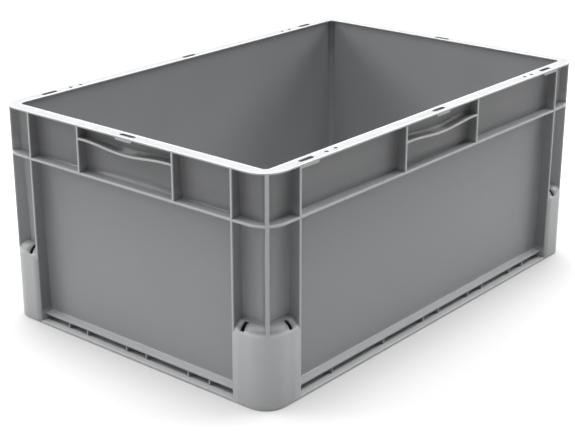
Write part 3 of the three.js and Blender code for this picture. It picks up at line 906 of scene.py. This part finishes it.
def foot_sole(corner, sx, sy):
    """The foot's flat sole: the rounded corner's outline, squared off at the wall and the ribs."""
    depth = wall_depth(0) + WALL_THICK
    inset = SOLE_TURN
    outer = rounded_ring(HALF_X - inset, HALF_Y - inset, OUTER_RADIUS - inset)[0]
    near_left = (outer[:, 0] < 0) & (outer[:, 1] < 0)
    line = np.abs(outer[near_left])
    u = HALF_X - line[:, 0]
    v = HALF_Y - line[:, 1]
    order = np.argsort(v - u)
    u = np.concatenate([[U_END, U_END], u[order], [inset, depth, depth]])
    v = np.concatenate([[depth, inset], v[order], [V_END, V_END, depth]])
    outline = at_corner(sx, sy, u, v, 0)[:, :2]
    turn = np.linspace(0, 2 * math.pi, 24, endpoint=False)
    hole_u = OUTER_RADIUS / 2 + DRAIN_RADIUS * np.cos(turn)
    hole_v = OUTER_RADIUS / 2 + DRAIN_RADIUS * np.sin(turn)
    hole = at_corner(sx, sy, hole_u, hole_v, 0)
    outlines = [outline, hole[:, :2]]
    return flat_plate(
        f"foot_sole_{corner}", outlines, SOLE_LOW, SOLE_THICK, SOLE_EDGE, foot_plastic
    )


for corner, sx, sy in CORNERS:
    finish_piece(foot_skin(corner, sx, sy), f"foot_{corner}")
    finish_piece(foot_sole(corner, sx, sy))

# --- Base flange and webs -------------------------------------------------------------------
# Round the tub's floor, between the feet, a flange stands out from the wall. Upright webs tie
# it down to the base plate, singly and in pairs. Between webs a skirt closes the gap behind,
# except inside a pair, where one looks in between the ribs under the floor.

rail_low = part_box("base_rail_front")[0]
plate_low, plate_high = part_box("base_plate")
FLANGE_DEPTH = rail_low.y + HALF_Y
FLANGE_LOW = floor_low.z
FLANGE_THICK = 1.9 * MM
FLANGE_ROOT = 1.5 * MM
WEB_THICK = 2 * MM
WEB_FRONT = FLANGE_DEPTH + 0.2 * MM
SKIRT_THICK = 2 * MM
PAIR_HALF = 15.5 * MM
PITCH = 95 * MM
LONE_WEBS = (-187 * MM, -93.5 * MM)


def carried(section, side, start, stop):
    """A (depth, z) section carried straight along a side: its points and faces, ends included."""
    section = np.asarray(section)
    ends = [
        np.append(on_side(side, at, section[:, 0]), section[:, 1:], axis=1) for at in (start, stop)
    ]
    width = len(section)
    faces = list(grid_faces(2, width, closed_columns=True))
    faces += [range(width), range(width, 2 * width)]
    return np.concatenate(ends), faces


def gathered(parts):
    """Several bodies' points and faces as one list of each."""
    points, faces, count = [], [], 0
    for part_points, part_faces in parts:
        points.append(part_points)
        faces += [[count + index for index in face] for face in part_faces]
        count += len(part_points)
    return np.concatenate(points), faces


def flange_section():
    """Flat below, a broken outer edge, a top that rises a little to a quarter circle at the wall."""
    b = np.linspace(0, math.pi / 2, 6)
    back = wall_depth(FLANGE_LOW)
    edge_z = FLANGE_LOW + FLANGE_THICK
    fillet_depth = back - FLANGE_ROOT + FLANGE_ROOT * np.sin(b)
    fillet_z = floor_high.z + FLANGE_ROOT * (1 - np.cos(b))
    return np.array(
        [
            (back + RIB_SINK, FLANGE_LOW),
            (FLANGE_DEPTH + RIB_EDGE / 2, FLANGE_LOW),
            (FLANGE_DEPTH, FLANGE_LOW + RIB_EDGE / 2),
            (FLANGE_DEPTH, edge_z - RIB_EDGE),
            (FLANGE_DEPTH + RIB_EDGE / 3, edge_z - RIB_EDGE / 3),
            (FLANGE_DEPTH + RIB_EDGE, edge_z),
            *zip(fillet_depth, fillet_z),
            (back + RIB_SINK, fillet_z[-1]),
        ]
    )


skirt_back = wall_depth(FLANGE_LOW)
web_section = [
    (WEB_FRONT, plate_high.z - RIB_EDGE),
    (skirt_back, plate_high.z - RIB_EDGE),
    (skirt_back, FLANGE_LOW + RIB_EDGE),
    (WEB_FRONT, FLANGE_LOW + RIB_EDGE),
]
skirt_section = [
    (skirt_back - SKIRT_THICK, plate_high.z - RIB_EDGE),
    (skirt_back, plate_high.z - RIB_EDGE),
    (skirt_back, FLANGE_LOW + RIB_EDGE),
    (skirt_back - SKIRT_THICK, FLANGE_LOW + RIB_EDGE),
]
for side in SIDES:
    is_long = side in ("front", "back")
    reach = CORNER_AT[side]
    middles = [0, PITCH, 2 * PITCH] if is_long else [-PITCH, 0, PITCH]
    webs = [*(LONE_WEBS if is_long else ())]
    webs += [m + sign * PAIR_HALF for m in middles for sign in (-1, 1)]
    flange = mesh_object(
        f"base_flange_{side}", *carried(flange_section(), side, -reach, reach), tub_plastic
    )
    finish_piece(flange, f"base_rail_{side}")
    web_parts = [carried(web_section, side, x - WEB_THICK / 2, x + WEB_THICK / 2) for x in webs]
    finish_piece(mesh_object(f"base_webs_{side}", *gathered(web_parts), tub_plastic))
    starts = [-reach] + [m + PAIR_HALF for m in middles]
    stops = [m - PAIR_HALF for m in middles] + [reach]
    skirt_parts = [carried(skirt_section, side, start, stop) for start, stop in zip(starts, stops)]
    finish_piece(mesh_object(f"base_skirt_{side}", *gathered(skirt_parts), tub_plastic))

# --- Base plate and underfloor ribs ---------------------------------------------------------
# The second moulding: a flat plate welded under the tub, running out flush between the feet.
# The ribs it is welded to show only through the openings, and keep the frame's own shape.

PLATE_EDGE = 0.5 * MM
notch_x = HALF_X - U_END + RIB_THICK / 8
notch_y = HALF_Y - V_END + RIB_THICK / 8
quarter = np.array([(HALF_X, notch_y), (notch_x, notch_y), (notch_x, HALF_Y)])
plate_outline = np.concatenate(
    [quarter, quarter[::-1] * (-1, 1), quarter * (-1, -1), quarter[::-1] * (1, -1)]
)
base_plate = flat_plate(
    "base_plate_moulded", [plate_outline], plate_low.z, plate_high.z, PLATE_EDGE, foot_plastic
)
finish_piece(base_plate, "base_plate")

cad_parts["underfloor_ribs"].data.materials.clear()
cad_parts["underfloor_ribs"].data.materials.append(tub_plastic)
